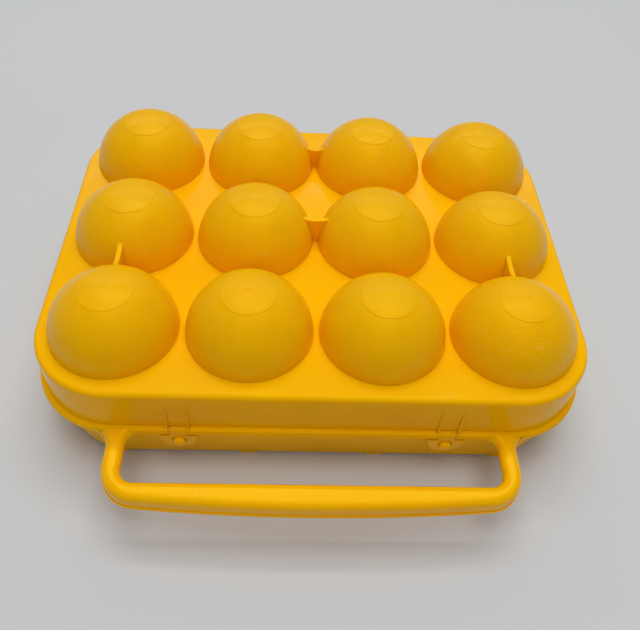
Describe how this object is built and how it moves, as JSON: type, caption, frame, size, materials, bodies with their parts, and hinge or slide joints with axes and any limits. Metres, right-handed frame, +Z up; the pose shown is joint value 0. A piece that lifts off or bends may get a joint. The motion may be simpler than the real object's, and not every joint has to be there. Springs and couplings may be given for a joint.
{
  "type": "egg box",
  "caption": "Hinged plastic box that holds eggs between cups in its base and domes in its lid, with a fixed bow handle and snap tongues at the front",
  "frame": {"origin": "middle of the overall box at ground level", "axes": "+X to the right of the front, -Y to the handle, +Z up"},
  "size_m": [0.2128, 0.1978, 0.0668],
  "materials": {
    "base_plastic": "warm yellow polyethylene, semi-gloss, moulded through",
    "lid_plastic": "warm yellow polyethylene, semi-gloss, with fine handling scuffs on the domes",
    "pin_plastic": "warm yellow plastic pin"
  },
  "bodies": {
    "base": {"base_rim": "base_plastic", "base_deck_1": "base_plastic", "base_deck_2": "base_plastic", "base_deck_3": "base_plastic", "base_deck_4": "base_plastic", "base_deck_5": "base_plastic", "egg_cup_front_1": "base_plastic", "egg_cup_front_2": "base_plastic", "egg_cup_front_3": "base_plastic", "egg_cup_front_4": "base_plastic", "egg_cup_middle_1": "base_plastic", "egg_cup_middle_2": "base_plastic", "egg_cup_middle_3": "base_plastic", "egg_cup_middle_4": "base_plastic", "egg_cup_rear_1": "base_plastic", "egg_cup_rear_2": "base_plastic", "egg_cup_rear_3": "base_plastic", "egg_cup_rear_4": "base_plastic", "carry_handle": "base_plastic", "latch_stud_left": "base_plastic", "latch_stud_right": "base_plastic", "hinge_lug_left_outer": "base_plastic", "hinge_lug_left_inner": "base_plastic", "hinge_lug_right_outer": "base_plastic", "hinge_lug_right_inner": "base_plastic", "hinge_pin_left": "pin_plastic", "hinge_pin_right": "pin_plastic"},
    "lid": {"lid_wall": "lid_plastic", "lid_deck_1": "lid_plastic", "lid_deck_2": "lid_plastic", "lid_deck_3": "lid_plastic", "lid_deck_4": "lid_plastic", "lid_deck_5": "lid_plastic", "lid_dome_front_1": "lid_plastic", "lid_dome_front_2": "lid_plastic", "lid_dome_front_3": "lid_plastic", "lid_dome_front_4": "lid_plastic", "lid_dome_middle_1": "lid_plastic", "lid_dome_middle_2": "lid_plastic", "lid_dome_middle_3": "lid_plastic", "lid_dome_middle_4": "lid_plastic", "lid_dome_rear_1": "lid_plastic", "lid_dome_rear_2": "lid_plastic", "lid_dome_rear_3": "lid_plastic", "lid_dome_rear_4": "lid_plastic", "web_middle": "lid_plastic", "web_rear": "lid_plastic", "web_left": "lid_plastic", "web_right": "lid_plastic", "hinge_eye_left": "lid_plastic", "hinge_eye_right": "lid_plastic"},
    "latch_left": {"latch_tongue_left": "lid_plastic"},
    "latch_right": {"latch_tongue_right": "lid_plastic"}
  },
  "joints": [
    {"name": "lid_hinge", "type": "hinge", "parent": "base", "child": "lid", "pos_m": [0, 0.09595, 0.0253], "axis": [-1, 0, 0], "range_deg": [0, 145]},
    {"name": "latch_left_flex", "type": "hinge", "parent": "lid", "child": "latch_left", "pos_m": [-0.05, -0.06745, 0.0253], "axis": [-1, 0, 0], "range_deg": [0, 50], "stiffness_Nm_per_rad": 0.01},
    {"name": "latch_right_flex", "type": "hinge", "parent": "lid", "child": "latch_right", "pos_m": [0.05, -0.06745, 0.0253], "axis": [-1, 0, 0], "range_deg": [0, 50], "stiffness_Nm_per_rad": 0.01}
  ]
}
